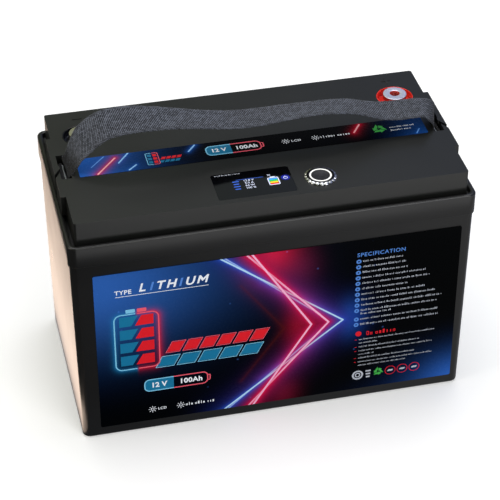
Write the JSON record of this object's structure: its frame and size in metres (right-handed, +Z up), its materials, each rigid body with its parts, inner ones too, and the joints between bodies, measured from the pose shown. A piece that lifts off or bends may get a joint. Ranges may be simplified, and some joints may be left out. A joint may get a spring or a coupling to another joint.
{
  "type": "deep cycle battery",
  "caption": "Sealed deep cycle battery in a black box case, with webbing carry strap, threaded post terminals, display window and ring-lit push button.",
  "frame": {"origin": "centre of the case's base, on the plane that it rests on", "axes": "+Z up, X along the length, -Y is the side with the front label, +X is the positive terminal's end"},
  "size_m": [0.33, 0.172, 0.2524],
  "materials": {
    "case_plastic": "satin moulded ABS, fine grain",
    "lid_plastic": "satin moulded ABS, fine grain",
    "sealant": "matte cured sealant",
    "red_plastic": "glossy moulded",
    "black_plastic": "glossy moulded",
    "tinned_metal": "turned, tin plated",
    "seal_rubber": "matte",
    "zinc_steel": "zinc plated",
    "webbing": "woven polypropylene webbing",
    "display_window": "polished smoked acrylic",
    "display_panel": "liquid crystal panel",
    "white_plastic": "moulded nylon",
    "circuit_board": "solder mask over fibreglass",
    "chrome": "polished",
    "light_ring": "diffused white light",
    "button_black": "satin anodised black",
    "black_nylon": "moulded nylon",
    "front_label": "printed and laminated vinyl",
    "strip_label": "printed and laminated vinyl",
    "cell_wrap": "shrink film",
    "fibre_board": "epoxy fibreglass sheet",
    "aluminium": "mill finish",
    "copper": "bare copper",
    "foam": "closed cell foam",
    "brass": "machined",
    "chip_black": "moulded epoxy",
    "tin_shield": "stamped tinplate",
    "red_insulation": "silicone insulation",
    "black_insulation": "silicone insulation"
  },
  "bodies": {
    "battery": {"case": "case_plastic", "lid": "lid_plastic", "lid_sealant": "sealant", "terminal_cup_positive": "red_plastic", "terminal_cup_negative": "black_plastic", "terminal_post_positive": "tinned_metal", "terminal_post_negative": "tinned_metal", "terminal_orings": "seal_rubber", "terminal_washers": "zinc_steel", "terminal_nuts": "zinc_steel", "display_window": "display_window", "display_panel": "display_panel", "display_frame": "white_plastic", "display_board": "circuit_board", "display_screws": "zinc_steel", "button_bezel": "chrome", "button_light_ring": "light_ring", "button_spring": "zinc_steel", "button_switch": "black_nylon", "button_gasket": "seal_rubber", "button_nut": "zinc_steel", "front_label": "front_label", "strip_label": "strip_label", "cell_1": "cell_wrap", "cell_2": "cell_wrap", "cell_3": "cell_wrap", "cell_4": "cell_wrap", "cell_insulators": "fibre_board", "end_plates": "aluminium", "pack_bands": "zinc_steel", "cell_studs": "zinc_steel", "busbars": "copper", "cell_nuts": "zinc_steel", "base_foam": "foam", "end_foams": "foam", "side_foams": "foam", "bms_deck": "black_nylon", "bms_standoffs": "brass", "bms_board": "circuit_board", "bms_mosfets": "chip_black", "bms_heatsink": "aluminium", "bms_terminals": "brass", "bms_screws": "zinc_steel", "wireless_module": "tin_shield", "balance_connector": "white_plastic", "balance_leads": "red_insulation", "temperature_probe": "black_insulation", "positive_cable": "red_insulation", "negative_cable": "black_insulation", "output_cable": "black_insulation", "cable_lugs": "tinned_metal", "display_cable": "black_insulation", "button_cable": "black_insulation"},
    "strap": {"strap_handle": "webbing", "strap_bars": "zinc_steel"},
    "button": {"button_cap": "button_black"}
  },
  "joints": [
    {"name": "strap_swing", "type": "hinge", "parent": "battery", "child": "strap", "pos_m": [0, 0, 0.215], "axis": [1, 0, 0], "range_deg": [-30, 30]},
    {"name": "button_press", "type": "slide", "parent": "battery", "child": "button", "axis": [0, 0, -1], "range_m": [0, 0.002], "stiffness_N_per_m": 900, "springref_m": -0.001, "deforming": ["button_spring"]}
  ]
}
